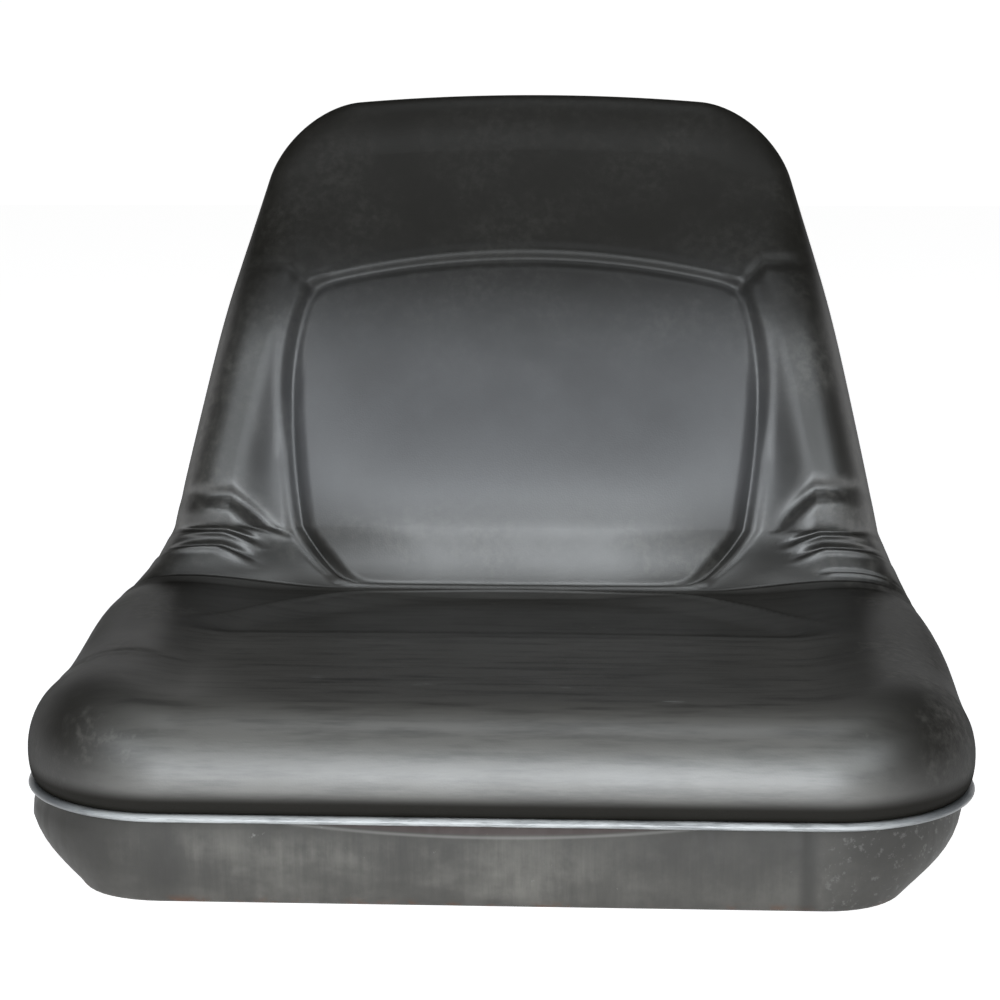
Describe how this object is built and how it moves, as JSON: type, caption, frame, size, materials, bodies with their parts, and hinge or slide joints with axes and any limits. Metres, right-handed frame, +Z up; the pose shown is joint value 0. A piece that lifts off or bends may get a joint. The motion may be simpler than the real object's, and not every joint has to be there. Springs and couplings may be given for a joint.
{
  "type": "tractor seat",
  "caption": "Compact tractor seat: a pressed steel shell, seat and back in one, with a moulded cushion, lumbar panel and side bolsters.",
  "frame": {"origin": "centre of the rectangle of four mounting bolts, on the shell's underside", "axes": "+X to the right as the picture sees it, -Y the way the sitter faces, +Z up"},
  "size_m": [0.516, 0.5016, 0.408],
  "materials": {
    "painted_steel": "dull black paint, dusty and scuffed",
    "plate_steel": "dull black paint",
    "nut_steel": "zinc plated",
    "foam": "open moulded foam",
    "vinyl": "semi-gloss moulded vinyl",
    "trim": "glossy extruded edging"
  },
  "bodies": {
    "root": {"seat_pan": "painted_steel", "left_mount_plate": "plate_steel", "right_mount_plate": "plate_steel", "weld_nuts": "nut_steel", "cushion_foam": "foam", "vinyl_cover": "vinyl", "edge_trim": "trim"}
  },
  "joints": []
}
